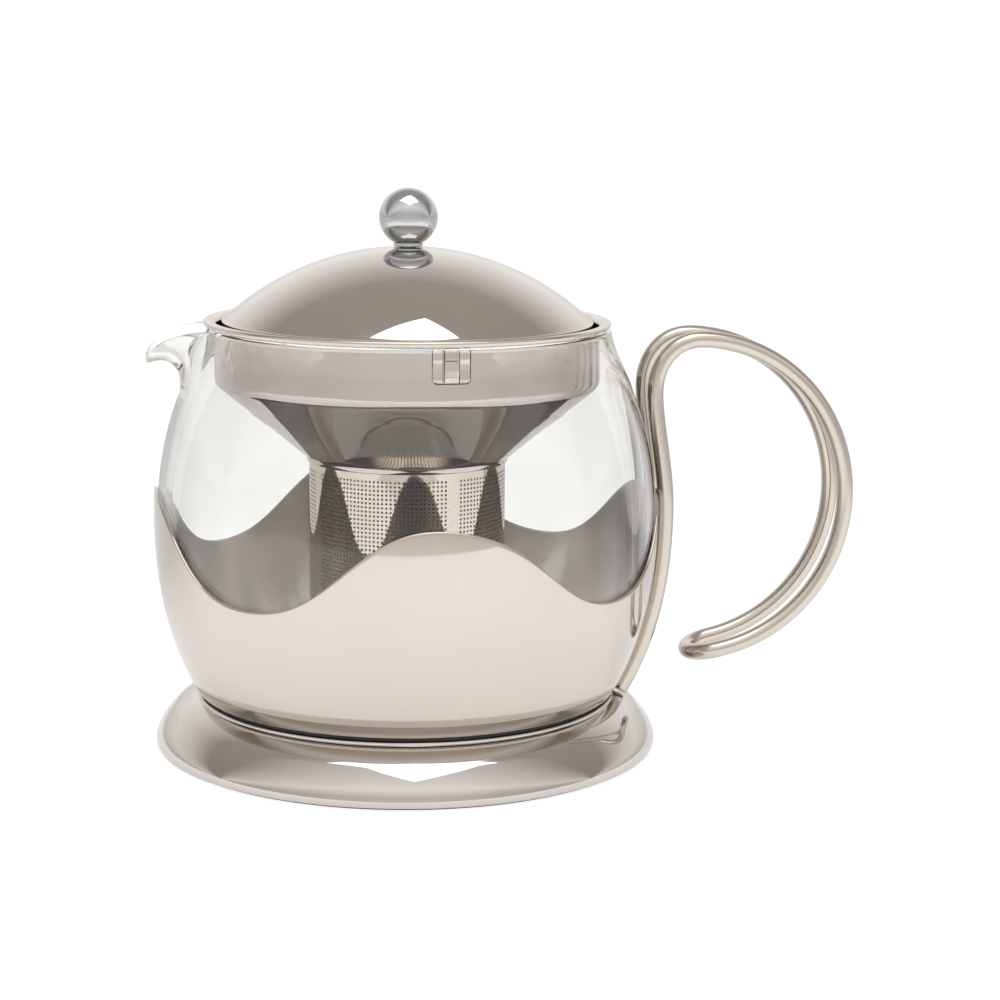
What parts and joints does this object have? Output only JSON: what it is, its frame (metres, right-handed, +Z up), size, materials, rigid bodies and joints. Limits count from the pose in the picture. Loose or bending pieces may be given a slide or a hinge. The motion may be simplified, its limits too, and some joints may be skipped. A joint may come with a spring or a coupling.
{
  "type": "teapot with infuser",
  "caption": "Round glass teapot in a wave-edged polished steel cradle on a domed base, with a hairpin rod handle, lift-out funnel infuser with perforated basket, and domed lid with ball knob.",
  "frame": {"origin": "centre of the underside of the foot pad, on the table", "axes": "+Z up along the axis of the pot, +X towards the handle, -X towards the spout"},
  "size_m": [0.2131, 0.151, 0.1668],
  "materials": {
    "glass": "clear borosilicate glass, fire-polished rim",
    "silicone": "translucent white silicone",
    "polished_steel": "mirror-polished stainless steel outside, fine brushed inside",
    "rod_steel": "satin-polished warm stainless rod",
    "black_rubber": "matt black",
    "plain_steel": "plain machined",
    "basket_steel": "thin stainless sheet, punched in a fine square grid",
    "spring_steel": "bright rolled spring steel",
    "brushed_steel_sheet": "brushed sheet",
    "knob_chrome": "bright mirror polish"
  },
  "bodies": {
    "pot": {"glass_bowl": "glass", "glass_seat_pad": "silicone", "cradle": "polished_steel", "handle_rod": "rod_steel", "base_gasket": "black_rubber", "base_pedestal": "polished_steel", "foot_pad": "black_rubber", "base_studs": "plain_steel", "base_washers": "plain_steel", "base_nuts": "plain_steel"},
    "infuser": {"infuser_funnel": "polished_steel", "basket_wall": "basket_steel", "basket_floor": "basket_steel", "spring_clips": "spring_steel"},
    "lid": {"lid_dome": "polished_steel", "lid_skirt": "brushed_steel_sheet", "knob_ball": "knob_chrome", "knob_neck": "knob_chrome", "knob_washer": "plain_steel", "knob_screw": "plain_steel"}
  },
  "joints": [
    {"name": "infuser_lift", "type": "slide", "parent": "pot", "child": "infuser", "axis": [0, 0, 1], "range_m": [0, 0.1]},
    {"name": "lid_lift", "type": "slide", "parent": "infuser", "child": "lid", "axis": [0, 0, 1], "range_m": [0, 0.04]}
  ]
}
